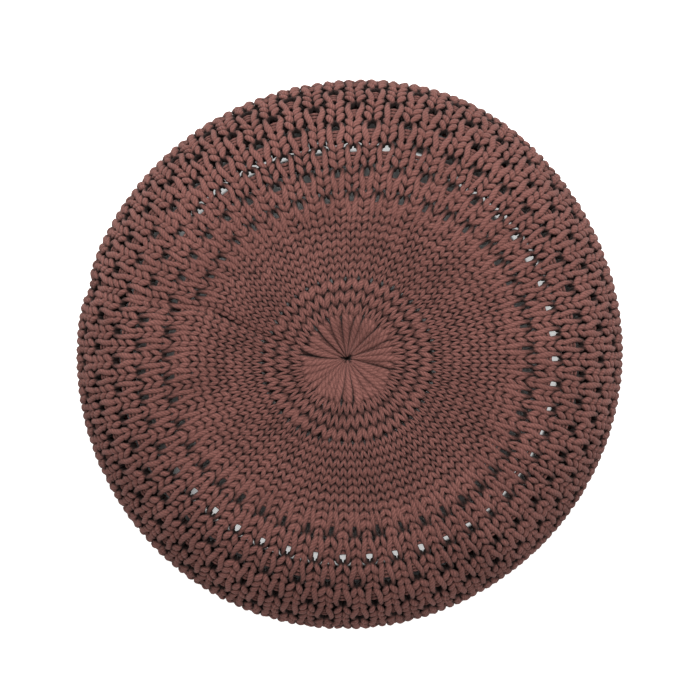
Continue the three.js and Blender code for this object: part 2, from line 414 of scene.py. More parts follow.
class LoopTree:
    """Geometry nodes that lay one tube of yarn for each loop of a knitted net.

    A loop runs from the middle of its foot over its two legs and its head. from_leg, in radii, is 0 at
    the middle of a leg and 1 at the head and the foot. lens_end is where on it a leg has thinned out and
    arc_start where the bend starts, and the powers say how suddenly each of them does.
    """

    rows_per_course = 2
    lens_end = 0.62
    lens_power = 0.75
    arc_start = 0.42
    arc_power = 0.6

    def __init__(self) -> None:
        """Builds the tree."""
        self.tree = bpy.data.node_groups.new("knit loops", "GeometryNodeTree")
        self.bench = Bench(self.tree)
        kinds = {
            "Loops": "Geometry",
            "Net": "Object",
            "Net columns": "Int",
            "Net rows": "Int",
            "Courses before": "Float",
            "Steps": "Int",
            "Sides": "Int",
            "Leg detail": "Float",
            "Cloth thickness": "Float",
            "Wander": "Float",
            "Seed": "Int",
            "Join distance": "Float",
            "Yarn": "Material",
        }
        self.given = self.bench.sockets("INPUT", kinds).outputs
        result = self.bench.sockets("OUTPUT", {"Geometry": "Geometry"})
        self.bench.feed(result.inputs[0], self.dress(self.shape(self.blank_tubes())))

    def blank_tubes(self) -> bpy.types.NodeSocket:
        """Puts a flat grid on each loop's point, with its length and its girth stored as phase and turn.

        The phase is crowded towards the middles of the legs, which show most.

        Returns:
            The flat grids.
        """
        bench, given = self.bench, self.given
        one_more = [bench.math("ADD", given[name], 1) for name in ("Steps", "Sides")]
        size = {"Size X": 1, "Size Y": 1, "Vertices X": one_more[0], "Vertices Y": one_more[1]}
        grid = bench.add("GeometryNodeMeshGrid", size)
        place = bench.add("ShaderNodeSeparateXYZ", {0: bench.add("GeometryNodeInputPosition").outputs[0]})
        four_times = bench.math("SINE", bench.math("MULTIPLY", place.outputs["X"], 2 * TAU))
        closer = bench.math("DIVIDE", given["Leg detail"], 2 * TAU)
        phase = bench.math("MULTIPLY_ADD", four_times, closer, place.outputs["X"])
        blank = bench.store(grid.outputs["Mesh"], "phase", phase, "FLOAT")
        blank = bench.store(blank, "turn", place.outputs["Y"], "FLOAT")
        blank = bench.store(blank, "UVMap", grid.outputs["UV Map"], "FLOAT2", "CORNER")
        inputs = {"Points": self.wander(given["Loops"]), "Instance": blank}
        spread = bench.add("GeometryNodeInstanceOnPoints", inputs)
        return bench.add("GeometryNodeRealizeInstances", {"Geometry": spread.outputs[0]}).outputs[0]

    def wander(self, loops: bpy.types.NodeSocket) -> bpy.types.NodeSocket:
        """Makes some loops a little wider, slimmer or plumper than others, as hand and machine leave them.

        Args:
            loops: the loops' points.

        Returns:
            The points with their changed sizes.
        """
        bench, given = self.bench, self.given
        for offset, name in enumerate(("spread", "across", "deep")):
            seed = bench.math("ADD", given["Seed"], offset)
            low = bench.math("SUBTRACT", 1, given["Wander"])
            high = bench.math("ADD", 1, given["Wander"])
            inputs = {2: low, 3: high, "Seed": seed}
            chance = bench.add("FunctionNodeRandomValue", inputs, data_type="FLOAT").outputs[1]
            loops = bench.store(loops, name, bench.math("MULTIPLY", bench.read(name), chance), "FLOAT")
        return loops

    def surface(self, wale: bpy.types.NodeSocket, course: bpy.types.NodeSocket) -> SurfaceAt:
        """Reads the net at a place given in wales and courses, between its corners and on past its edges.

        Args:
            wale: how many wales round from the seam.
            course: how many courses down from the net's first.

        Returns:
            The surface there.
        """
        bench, given = self.bench, self.given
        net = bench.add("GeometryNodeObjectInfo", {"Object": given["Net"]}).outputs["Geometry"]
        row = bench.math("MULTIPLY", bench.math("ADD", course, given["Courses before"]), self.rows_per_course)
        firsts, parts = [], []
        for place, count in ((wale, given["Net columns"]), (row, given["Net rows"])):
            last = bench.math("SUBTRACT", count, 2)
            first = bench.math("MINIMUM", bench.math("MAXIMUM", bench.math("FLOOR", place), 0), last)
            firsts.append(first)
            parts.append(bench.math("SUBTRACT", place, first))
        corner = bench.math("MULTIPLY_ADD", firsts[1], given["Net columns"], firsts[0])
        place = bench.add("GeometryNodeInputPosition").outputs[0]
        fields = {"point": place, "outward": bench.read("outward", "FLOAT_VECTOR")}
        found = {}
        settings = {"data_type": "FLOAT_VECTOR", "clamp": True}
        for name, value in fields.items():
            for down in (0, 1):
                for across in (0, 1):
                    index = bench.math("MULTIPLY_ADD", given["Net columns"], down, corner)
                    inputs = {"Geometry": net, "Value": value, "Index": bench.math("ADD", index, across)}
                    sample = bench.add("GeometryNodeSampleIndex", inputs, **settings)
                    found[name, down, across] = sample.outputs[0]
        points = [[found["point", down, across] for across in (0, 1)] for down in (0, 1)]
        outwards = [[found["outward", down, across] for across in (0, 1)] for down in (0, 1)]
        upper, lower = (bench.mix(parts[0], left, right) for left, right in points)
        normals = [bench.mix(parts[0], left, right) for left, right in outwards]
        widths = [bench.vector("SUBTRACT", right, left) for left, right in points]
        return SurfaceAt(
            point=bench.mix(parts[1], upper, lower),
            outward=bench.vector("NORMALIZE", bench.mix(parts[1], *normals)),
            along_course=bench.mix(parts[1], *widths),
            along_wale=bench.scale(bench.vector("SUBTRACT", lower, upper), self.rows_per_course),
        )

    def shape(self, tubes: bpy.types.NodeSocket) -> bpy.types.NodeSocket:
        """Bends each flat grid into a loop: side to side by sines, and head to foot by a cosine.

        The height that it stores, from which the yarn's painted shade is read, is measured from the cloth's
        middle, in half thicknesses of the cloth.

        Args:
            tubes: the flat grids.

        Returns:
            The loops.
        """
        bench = self.bench
        angle = bench.math("MULTIPLY", bench.read("phase"), TAU)
        twice = bench.math("MULTIPLY", angle, 2)
        sine, cosine = bench.math("SINE", angle), bench.math("COSINE", angle)
        sin_twice, cos_twice = bench.math("SINE", twice), bench.math("COSINE", twice)
        swing = bench.math("MULTIPLY", bench.read("spread"), sin_twice)
        from_edge = bench.math("ADD", bench.read("wale"), bench.math("ADD", bench.read("phase"), 0.5))
        bulge = bench.math("MULTIPLY", bench.read("bulge"), sine)
        wale = bench.math("ADD", bench.math("ADD", from_edge, swing), bulge)
        course = bench.math("MULTIPLY_ADD", bench.read("reach"), cosine, bench.read("middle"))
        from_bend = bench.math("MULTIPLY_ADD", cos_twice, -0.5, 0.5)
        course = bench.math("SUBTRACT", course, bench.math("MULTIPLY", bench.read("bow"), from_bend))
        through = bench.math("MULTIPLY", bench.read("wave"), cos_twice)
        arched = bench.math("MULTIPLY_ADD", bench.read("arch"), cosine, bench.read("lift"))
        depth = bench.math("SUBTRACT", arched, through)
        here = self.surface(wale, course)
        spreading = bench.math("MULTIPLY", bench.math("MULTIPLY", bench.read("spread"), 2), cos_twice)
        bulging = bench.math("MULTIPLY", bench.read("bulge"), cosine)
        round_rate = bench.math("ADD", bench.math("ADD", spreading, bulging), 1 / TAU)
        down_rate = bench.math("MULTIPLY", bench.math("MULTIPLY", bench.read("reach"), -1), sine)
        down_rate = bench.math("SUBTRACT", down_rate, bench.math("MULTIPLY", bench.read("bow"), sin_twice))
        out_rate = bench.math("MULTIPLY", bench.math("MULTIPLY", bench.read("wave"), 2), sin_twice)
        out_rate = bench.math("SUBTRACT", out_rate, bench.math("MULTIPLY", bench.read("arch"), sine))
        round_part = bench.scale(here.along_course, round_rate)
        down_part = bench.scale(here.along_wale, down_rate)
        out_part = bench.scale(here.outward, out_rate)
        tangent = bench.vector("ADD", bench.vector("ADD", round_part, down_part), out_part)
        across = bench.vector("NORMALIZE", bench.vector("CROSS_PRODUCT", tangent, here.outward))
        deep = bench.vector("NORMALIZE", bench.vector("CROSS_PRODUCT", across, tangent))
        girth = bench.math("MULTIPLY", bench.read("turn"), TAU)
        across_radius, deep_radius = self.radii(cos_twice)
        around_part = bench.scale(across, bench.math("MULTIPLY", across_radius, bench.math("COSINE", girth)))
        rise = bench.math("MULTIPLY", deep_radius, bench.math("SINE", girth))
        centre = bench.vector("ADD", here.point, bench.scale(here.outward, depth))
        place = bench.vector("ADD", centre, bench.vector("ADD", around_part, bench.scale(deep, rise)))
        half_thickness = bench.math("MULTIPLY", self.given["Cloth thickness"], 0.5)
        height = bench.math("DIVIDE", bench.math("ADD", depth, rise), half_thickness)
        tubes = bench.store(tubes, "height", height, "FLOAT")
        return bench.add("GeometryNodeSetPosition", {"Geometry": tubes, "Position": place}).outputs[0]

    def radii(self, cos_twice: bpy.types.NodeSocket) -> tuple[bpy.types.NodeSocket, bpy.types.NodeSocket]:
        """Makes each leg a plump lens that thins where it dives under its neighbours, and each bend full.

        Args:
            cos_twice: the cosine of twice the loop's angle, 1 at its head and foot and -1 half way between.

        Returns:
            The yarn's radius along the cloth and its radius through the cloth.
        """
        bench = self.bench
        from_leg = bench.math("MULTIPLY_ADD", cos_twice, 0.5, 0.5)
        lens = bench.math("SUBTRACT", 1, bench.math("DIVIDE", from_leg, self.lens_end))
        lens = bench.math("POWER", bench.math("MAXIMUM", lens, 0), self.lens_power)
        bend = bench.math("DIVIDE", bench.math("SUBTRACT", from_leg, self.arc_start), 1 - self.arc_start)
        bend = bench.math("POWER", bench.math("MAXIMUM", bend, 0), self.arc_power)
        least = bench.math("MAXIMUM", bench.math("MULTIPLY", bench.read("arc"), bend), bench.read("neck"))
        radii = (bench.math("MULTIPLY", bench.read(name), lens) for name in ("across", "deep"))
        across, deep = (bench.math("MAXIMUM", radius, least) for radius in radii)
        return across, deep

    def dress(self, loops: bpy.types.NodeSocket) -> bpy.types.NodeSocket:
        """Gives the loops their yarn coordinates in metres, joins neighbours and sets the yarn.

        Args:
            loops: the bent tubes.

        Returns:
            The finished geometry.
        """
        bench, given = self.bench, self.given
        stretch = bench.add("ShaderNodeCombineXYZ", {"X": bench.read("length"), "Y": 1.0}).outputs[0]
        along = bench.vector("MULTIPLY", bench.read("UVMap", "FLOAT_VECTOR"), stretch)
        loops = bench.store(loops, "UVMap", along, "FLOAT2", "CORNER")
        inputs = {"Geometry": loops, "Distance": given["Join distance"]}
        loops = bench.add("GeometryNodeMergeByDistance", inputs).outputs[0]
        loops = bench.add("GeometryNodeSetShadeSmooth", {"Geometry": loops}).outputs[0]
        loops = bench.add("GeometryNodeRealizeInstances", {"Geometry": loops}).outputs[0]
        return bench.add("GeometryNodeSetMaterial", {"Geometry": loops, "Material": given["Yarn"]}).outputs[0]


class LaidYarnTree:
    """Geometry nodes that lay a tube of yarn along each line of a mesh."""

    def __init__(self) -> None:
        """Builds the tree."""
        self.tree = bpy.data.node_groups.new("laid yarn", "GeometryNodeTree")
        bench = Bench(self.tree)
        kinds = {
            "Lines": "Geometry",
            "Sides": "Int",
            "Cloth thickness": "Float",
            "Join distance": "Float",
            "Yarn": "Material",
        }
        given = bench.sockets("INPUT", kinds).outputs
        result = bench.sockets("OUTPUT", {"Geometry": "Geometry"})
        curve = bench.add("GeometryNodeMeshToCurve", {"Mesh": given["Lines"]}).outputs[0]
        inputs = {"Curve": curve, "Radius": bench.read("radius")}
        curve = bench.add("GeometryNodeSetCurveRadius", inputs).outputs[0]
        length = bench.add("GeometryNodeSplineParameter").outputs["Length"]
        curve = bench.store(curve, "along", length, "FLOAT")
        middle = bench.add("GeometryNodeInputPosition").outputs[0]
        curve = bench.store(curve, "middle", middle, "FLOAT_VECTOR")
        sides = bench.math("ADD", given["Sides"], 1)
        inputs = {"Resolution": sides, "Radius": 1.0, "Sweep Angle": TAU}
        ring = bench.add("GeometryNodeCurveArc", inputs).outputs[0]
        girth = bench.add("GeometryNodeSplineParameter").outputs["Factor"]
        ring = bench.store(ring, "girth", girth, "FLOAT")
        inputs = {"Curve": curve, "Profile Curve": ring, "Scale": bench.read("radius")}
        tube = bench.add("GeometryNodeCurveToMesh", inputs).outputs[0]
        inputs = {"X": bench.read("along"), "Y": bench.read("girth")}
        place = bench.add("ShaderNodeCombineXYZ", inputs).outputs[0]
        tube = bench.store(tube, "UVMap", place, "FLOAT2", "CORNER")
        # the height from which the yarn's painted shade is read
        spoke = bench.vector("SUBTRACT", middle, bench.read("middle", "FLOAT_VECTOR"))
        inputs = {0: spoke, 1: bench.read("outward", "FLOAT_VECTOR")}
        above = bench.add("ShaderNodeVectorMath", inputs, operation="DOT_PRODUCT").outputs["Value"]
        rise = bench.math("ADD", above, bench.read("depth"))
        height = bench.math("DIVIDE", rise, bench.math("MULTIPLY", given["Cloth thickness"], 0.5))
        tube = bench.store(tube, "height", height, "FLOAT")
        inputs = {"Geometry": tube, "Distance": given["Join distance"]}
        tube = bench.add("GeometryNodeMergeByDistance", inputs).outputs[0]
        tube = bench.add("GeometryNodeSetShadeSmooth", {"Geometry": tube}).outputs[0]
        tube = bench.add("GeometryNodeRealizeInstances", {"Geometry": tube}).outputs[0]
        tube = bench.add("GeometryNodeSetMaterial", {"Geometry": tube, "Material": given["Yarn"]}).outputs[0]
        bench.feed(result.inputs[0], tube)


def point_object(
    name: str,
    points: np.ndarray,
    attributes: dict[str, np.ndarray],
    edges: list[tuple[int, int]] | None = None,
) -> bpy.types.Object:
    """Makes a mesh of points that carry attributes.

    Args:
        name: the object's name.
        points: the points, one row each.
        attributes: named numbers or vectors, one for each point.
        edges: pairs of points that are joined.

    Returns:
        The object, in the scene.
    """
    mesh = bpy.data.meshes.new(name)
    mesh.from_pydata(points.tolist(), edges or [], [])
    for key, values in attributes.items():
        is_vector = values.ndim == 2
        layer = mesh.attributes.new(key, "FLOAT_VECTOR" if is_vector else "FLOAT", "POINT")
        layer.data.foreach_set("vector" if is_vector else "value", values.astype(np.float32).ravel())
    piece = bpy.data.objects.new(name, mesh)
    bpy.context.scene.collection.objects.link(piece)
    return piece


def grow(piece: bpy.types.Object, tree: bpy.types.NodeTree, values: dict[str, object]) -> None:
    """Runs a geometry node tree on an object and keeps the result as its plain mesh, with every end closed.

    Args:
        piece: the object whose mesh feeds the tree.
        tree: the tree.
        values: the tree's inputs, by name.
    """
    modifier = piece.modifiers.new(tree.name, "NODES")
    modifier.node_group = tree
    identifiers = {item.name: item.identifier for item in tree.interface.items_tree if item.in_out == "INPUT"}
    for name, value in values.items():
        modifier[identifiers[name]] = value
    evaluated = piece.evaluated_get(bpy.context.evaluated_depsgraph_get())
    grown = bpy.data.meshes.new_from_object(evaluated)
    grown.name = piece.name
    kept = ("position", "height")
    for layer in [a.name for a in grown.attributes if a.domain == "POINT" and a.name not in kept]:
        if not layer.startswith("."):
            grown.attributes.remove(grown.attributes[layer])
    piece.modifiers.remove(modifier)
    piece.data = grown
    solid = bmesh.new()
    solid.from_mesh(grown)
    bmesh.ops.holes_fill(solid, edges=[edge for edge in solid.edges if edge.is_boundary], sides=0)
    solid.to_mesh(grown)
    solid.free()


@dataclass(frozen=True)
class StitchForm:
    """Where a stitch's foot and head lie, in courses from its own course's start, and how it is swung.

    spread is the share of a wale that its legs lean out by. wave is the share of the full swing that it
    makes through the cloth, lift how far it lies outside the cloth's middle, and arch how far its head
    stands out over that and its foot goes in, all as shares of the same swing. bow is how far the middles
    of its legs hang back, in courses, and bulge how far they stand apart, in wales. fullness is how thick
    it stays where it dives, as a share of its leg.
    """

    foot: float
    head: float
    spread: float
    wave: float = 1.0
    lift: float = 0.0
    arch: float = 0.0
    bow: float = 0.0
    bulge: float = 0.0
    fullness: float = 0.34


class Stitch(Enum):
    """The kinds of stitch in the cap."""

    PLAIN = StitchForm(foot=-0.5, head=1.5, spread=0.28, fullness=0.24)
    OPEN = StitchForm(foot=-0.5, head=1.5, spread=0.3, fullness=0.62)
    AFTER_EYELET = StitchForm(foot=-0.6, head=1.5, spread=0.24, fullness=0.75)
    HELD = StitchForm(
        foot=-0.5, head=3.1, spread=0.17, wave=0.65, lift=0.35, bow=0.5, bulge=0.045, fullness=0.85
    )
    FLOAT = StitchForm(foot=0.1, head=-0.2, spread=0, wave=0, lift=0.1, arch=0.65, fullness=1)


@dataclass
class Net:
    """A grid on the fabric, with a column at each edge between wales and two rows for each course.

    edges holds the distance down the fabric to each course's start, and to the last one's end. zigzag is
    how far, in wales, the edges sway from side to side round the eyelets, from zigzag_start to
    zigzag_end. wander is how far the knitting strays from the even grid, and courses_before how many
    courses the grid runs on past each end.
    """

    name: str
    fabric: Fabric
    wales: int
    edges: np.ndarray
    zigzag: float = 0.0
    zigzag_start: float = 0.0
    zigzag_spacing: float = 1.0
    zigzag_end: float = 0.0
    wander: float = 0.27 * MM
    courses_before: int = 2
    least_radius: float = 5 * MM
    seed: int = 7
    obj: bpy.types.Object = field(init=False)
    points: np.ndarray = field(init=False)

    def __post_init__(self) -> None:
        """Lays the grid."""
        rows = LoopTree.rows_per_course * (len(self.edges) - 1 + 2 * self.courses_before) + 1
        course = np.arange(rows) / LoopTree.rows_per_course - self.courses_before
        down = self.down(course)[:, None] * np.ones(self.wales + 1)
        edge = np.arange(self.wales + 1)[None, :] * np.ones((rows, 1))
        shift = self.edge_shift(down, edge)
        random = np.random.default_rng(self.seed)
        inner = np.ones(self.wales + 1)
        inner[[0, -1]] = 0
        jitter = random.normal(0, self.wander, (2, rows, self.wales + 1)) * inner
        jitter[:, 1:-1] = (jitter[:, :-2] + 2 * jitter[:, 1:-1] + jitter[:, 2:]) / 3
        radius = np.maximum(self.fabric.section(down)[0], self.least_radius)
        around = (edge + shift) / self.wales + jitter[0] / (TAU * radius)
        down = down + jitter[1]
        self.points = self.fabric.point(around, down, 0.0)
        outward = self.fabric.outward(around, down, 0.0).reshape(-1, 3)
        self.obj = point_object(self.name, self.points.reshape(-1, 3), {"outward": outward})

    def down(self, course: np.ndarray) -> np.ndarray:
        """Finds the distance down the fabric of places given in courses, on past the first and last ones too.

        Args:
            course: the places.

        Returns:
            The distance of each place.
        """
        count = np.arange(len(self.edges))
        first, last = self.edges[1] - self.edges[0], self.edges[-1] - self.edges[-2]
        before = np.minimum(course, 0) * first
        after = np.maximum(course - count[-1], 0) * last
        return np.interp(course, count, self.edges) + before + after

    def edge_shift(self, down: np.ndarray, edge: np.ndarray) -> np.ndarray:
        """Finds how far each edge between wales is pushed aside where a wale bulges round its eyelet.

        Args:
            down: distances down the fabric.
            edge: the edges' numbers.

        Returns:
            The shift in wales.
        """
        inside = smoothstep(down, self.zigzag_start - 2 * self.zigzag_spacing, self.zigzag_start)
        inside = inside * (1 - smoothstep(down, self.zigzag_end, self.zigzag_end + self.zigzag_spacing))
        sway = np.cos(math.pi * (down - self.zigzag_start) / self.zigzag_spacing)
        free = (edge > 0) & (edge < self.wales)
        return -np.where(edge % 2 == 0, 1, -1) * self.zigzag * sway * inside * free

    def row(self, course: float) -> int:
        """Finds the grid row nearest to a course."""
        return int(round((course + self.courses_before) * LoopTree.rows_per_course))

    def widths(self, course: float) -> np.ndarray:
        """Measures every wale at a course."""
        row = self.points[self.row(course)]
        return np.linalg.norm(np.diff(row, axis=0), axis=1)

    def heights(self, course: float) -> np.ndarray:
        """Measures a course's height at every wale.

        Args:
            course: the course.

        Returns:
            The height at each wale, the mean of its two sides.
        """
        upper, lower = self.points[self.row(course)], self.points[self.row(course + 1)]
        sides = np.linalg.norm(lower - upper, axis=1)
        return (sides[1:] + sides[:-1]) / 2


@dataclass
class KnittedPiece:
    """Some courses of one net, made as one piece of joined loops.

    leg_share is how much of its wale a leg's radius may take, up to widest_leg, and yarn_radius the
    radius of the yarn before it is squeezed flat between its neighbours. yarn_per_reach is how much yarn
    lies in a loop for each half of its length.
    """

    name: str
    net: Net
    yarn_radius: float = 0.93 * MM
    leg_share: float = 0.28
    widest_leg: float = 1.02 * MM
    deepest_leg: float = 1.05 * MM
    arc_radius: float = 0.92 * MM
    steps: int = 14
    sides: int = 8
    leg_detail: float = 0.45
    yarn_per_reach: float = 4.4
    wander: float = 0.15
    seed: int = 11
    join_distance: float = 0.04 * MM
    loops: list[dict[str, np.ndarray]] = field(default_factory=list)

    def knit(self, stitch: Stitch, course: float, wales: np.ndarray) -> None:
        """Adds one stitch to each of some wales.

        Args:
            stitch: the kind of stitch.
            course: the course that it belongs to.
            wales: the wales' numbers.
        """
        form = stitch.value
        middle = course + (form.foot + form.head) / 2
        reach = (form.head - form.foot) / 2
        widths = self.net.widths(round(2 * middle) / 2)[wales]
        heights = self.net.heights(course)[wales]
        across = np.minimum(self.leg_share * widths, self.widest_leg)
        deep = np.minimum(self.yarn_radius**2 / across, self.deepest_leg)
        swing = self.net.fabric.thickness / 2 - deep
        ones = np.ones(len(wales))
        self.loops.append(
            {
                "wale": wales * 1.0,
                "middle": middle * ones,
                "reach": reach * ones,
                "spread": form.spread * ones,
                "wave": form.wave * swing,
                "lift": form.lift * swing,
                "arch": form.arch * swing,
                "across": across,
                "deep": deep,
                "arc": self.arc_radius * ones,
                "neck": form.fullness * across,
                "bow": form.bow * ones,
                "bulge": form.bulge * ones,
                "length": self.yarn_per_reach * reach * heights + widths,
            }
        )

    def finish(self, tree: LoopTree, yarn: bpy.types.Material) -> bpy.types.Object:
        """Grows the loops and puts the piece on the frame.

        Args:
            tree: the loops' geometry nodes.
            yarn: the yarn's material.

        Returns:
            The finished piece.
        """
        attributes = {key: np.concatenate([row[key] for row in self.loops]) for key in self.loops[0]}
        points = np.zeros((len(attributes["wale"]), 3))
        piece = point_object(self.name, points, attributes)
        values = {
            "Net": self.net.obj,
            "Net columns": self.net.points.shape[1],
            "Net rows": self.net.points.shape[0],
            "Courses before": float(self.net.courses_before),
            "Steps": self.steps,
            "Sides": self.sides,
            "Leg detail": self.leg_detail,
            "Cloth thickness": self.net.fabric.thickness,
            "Wander": self.wander,
            "Seed": self.seed,
            "Join distance": self.join_distance,
            "Yarn": yarn,
        }
        grow(piece, tree.tree, values)
        return dress_piece(piece, "knitted_cap")


def dress_piece(piece: bpy.types.Object, node: str) -> bpy.types.Object:
    """Puts a finished piece on the frame in place of a node, and logs it.

    Args:
        piece: the piece.
        node: the node that it stands for.

    Returns:
        The piece.
    """
    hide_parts(node)
    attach(piece, "root")
    LOG.info("%s: %d triangles", piece.name, sum(len(face.vertices) - 2 for face in piece.data.polygons))
    return piece


@dataclass
class YarnLines:
    """Lines that yarn is laid along, gathered up for one piece."""

    name: str
    sides: int = 6
    join_distance: float = 0.05 * MM
    cloth_thickness: float = Fabric.thickness
    lines: list[dict[str, np.ndarray]] = field(default_factory=list)

    def lay(
        self, points: np.ndarray, radius: np.ndarray | float, outward: np.ndarray, depth: np.ndarray | float
    ) -> None:
        """Adds one line.

        Args:
            points: the line's points, one row each.
            radius: the yarn's radius, at each point or everywhere.
            outward: the cloth's outward direction, at each point or everywhere.
            depth: how far outside the cloth's middle the line lies, at each point or everywhere.
        """
        ones = np.ones(len(points))
        row = {"place": points, "radius": ones * radius, "outward": ones[:, None] * outward}
        self.lines.append({**row, "depth": ones * depth})

    def lay_on(
        self,
        fabric: Fabric,
        around: np.ndarray,
        down: np.ndarray,
        depth: np.ndarray,
        radius: np.ndarray | float,
    ) -> None:
        """Adds one line that lies on the cloth.

        Args:
            fabric: the cloth.
            around: shares of the way round from the seam.
            down: distances down the cloth.
            depth: distances outside the cloth's middle.
            radius: the yarn's radius, at each point or everywhere.
        """
        outward = fabric.outward(around, down, 0.0)
        self.lay(fabric.point(around, down, depth), radius, outward, depth)

    def finish(self, tree: LaidYarnTree, yarn: bpy.types.Material, node: str, slot: str) -> bpy.types.Object:
        """Grows the yarn and puts the piece on the frame.

        Args:
            tree: the laid yarn's geometry nodes.
            yarn: the yarn's material.
            node: the node that the piece stands for.
            slot: not used.

        Returns:
            The finished piece.
        """
        edges, start = [], 0
        for line in self.lines:
            count = len(line["place"])
            edges += [(start + i, start + i + 1) for i in range(count - 1)]
            start += count
        joined = {key: np.concatenate([line[key] for line in self.lines]) for key in self.lines[0]}
        piece = point_object(self.name, joined.pop("place"), joined, edges)
        values = {
            "Sides": self.sides,
            "Cloth thickness": self.cloth_thickness,
            "Join distance": self.join_distance,
            "Yarn": yarn,
        }
        grow(piece, tree.tree, values)
        return dress_piece(piece, node)


@dataclass
class Gather:
    """The drawn-in centre: plump strands that run in to a pinch, dark from its depth and from painted shade,
    every second one pressed under.

    pinch_width is how far the pinch reaches from the centre along X, and pinch_height along Y. taper is a
    strand's radius as a share of its distance from the centre, up to plump. dive holds where a strand's dive
    is over and where it starts, as shares of the pinch. Each range holds the least and the greatest chance
    value.
    """

    fabric: Fabric
    strands: int = 47
    outer_end: float = 17.2 * MM
    ragged: float = 0.7 * MM
    points: int = 14
    plump: float = 1.5 * MM
    taper: float = 0.14
    thinnest: float = 0.2 * MM
    pinch_width: float = 1.6 * MM
    pinch_height: float = 0.7 * MM
    pinch_depth: float = 3.2 * MM
    pinch_range: tuple[float, float] = (0.55, 1.5)
    inner_range: tuple[float, float] = (0.25, 0.5)
    dive: tuple[float, float] = (0.3, 1.6)
    tuck: float = 1.6 * MM
    tuck_length: float = 2.6 * MM
    under: float = 0.5 * MM
    fold: float = 0.8 * MM
    spread_out: tuple[float, float] = (9 * MM, 15.5 * MM)
    outer_plump: float = 0.85
    crowding: float = 1.25
    jostle: float = 0.16
    unevenness: float = 0.15 * MM
    girth_spread: float = 0.05
    sway: float = 0.004
    seed: int = 5

    def build(self, tree: LaidYarnTree, yarn: bpy.types.Material) -> None:
        """Lays the strands.

        Args:
            tree: the laid yarn's geometry nodes.
            yarn: the yarn's material.
        """
        random = np.random.default_rng(self.seed)
        lines = YarnLines("gather_strands", sides=8)
        share = np.linspace(0, 1, self.points)
        for strand in range(self.strands):
            place = (strand + 0.5 + random.normal(0, self.jostle)) / self.strands
            sideways = abs(math.cos(self.fabric.seam_angle + TAU * place))
            pinch = self.pinch_height + (self.pinch_width - self.pinch_height) * sideways**2
            pinch = pinch * random.uniform(*self.pinch_range)
            inner = pinch * random.uniform(*self.inner_range)
            outer_end = self.outer_end + random.normal(0, self.ragged)
            down = inner + (outer_end - inner) * share**self.crowding
            inside = 1 - smoothstep(down, *self.spread_out)
            sunk = (self.under * (strand % 2) + random.normal(0, self.unevenness)) * inside
            sunk = sunk + self.fold * (strand == 0)
            into = self.pinch_depth * (1 - smoothstep(down, self.dive[0] * pinch, self.dive[1] * pinch))
            outer = self.tuck * smoothstep(down, outer_end - self.tuck_length, outer_end)
            widest = self.plump * (self.outer_plump + (1 - self.outer_plump) * inside)
            radius = np.clip(self.taper * down, self.thinnest, widest) * random.normal(1, self.girth_spread)
            depth = self.fabric.thickness / 2 - radius - sunk - into - outer
            around = np.full(self.points, place) + self.sway * random.normal() * np.sin(math.pi * share)
            lines.lay_on(self.fabric, around, down, depth, radius)
        lines.finish(tree, yarn, "knitted_cap", "yarn")


@dataclass
class BackSeam:
    """The seam's ridge, turned in behind the fold: two strands twisted round each other."""

    fabric: Fabric
    start: float = 15 * MM
    end_gap: float = 2 * MM
    point_spacing: float = 1.2 * MM
    twist_pitch: float = 6.8 * MM
    strand_radius: float = 0.9375 * MM
    ridge_depth: float = 2.6 * MM
    twist_radius: float = 0.5 * MM

    def build(self, tree: LaidYarnTree, yarn: bpy.types.Material) -> None:
        """Lays the two strands.

        Args:
            tree: the laid yarn's geometry nodes.
            yarn: the yarn's material.
        """
        lines = YarnLines("back_seam", sides=6)
        down = np.arange(self.start, self.fabric.length - self.end_gap, self.point_spacing)
        radius = self.fabric.section(down)[0]
        for phase in (0, math.pi):
            twist = phase + TAU * down / self.twist_pitch
            around = self.twist_radius * np.sin(twist) / (TAU * radius)
            depth = -self.ridge_depth + self.twist_radius * np.cos(twist)
            lines.lay_on(self.fabric, around % 1, down, depth, self.strand_radius)
        lines.finish(tree, yarn, "knitted_cap", "yarn")


@dataclass
class LowerEdge:
    """The bound lower edge: two strands twisted round each other along the rim."""

    fabric: Fabric
    turns: int = 94
    points_per_turn: int = 8
    strand_radius: float = 0.82 * MM
    twist_radius: float = 0.72 * MM
    rise: float = 2.1 * MM

    def build(self, tree: LaidYarnTree, yarn: bpy.types.Material) -> None:
        """Lays the two strands.

        Args:
            tree: the laid yarn's geometry nodes.
            yarn: the yarn's material.
        """
        lines = YarnLines("lower_edge", sides=6)
        count = self.turns * self.points_per_turn
        around = np.linspace(0, 1, count + 1)
        for phase in (0, math.pi):
            twist = phase + TAU * self.turns / 2 * around
            down = self.fabric.length - self.rise + self.twist_radius * np.sin(twist)
            lines.lay_on(self.fabric, around, down, self.twist_radius * np.cos(twist), self.strand_radius)
        lines.finish(tree, yarn, "knitted_cap", "yarn")


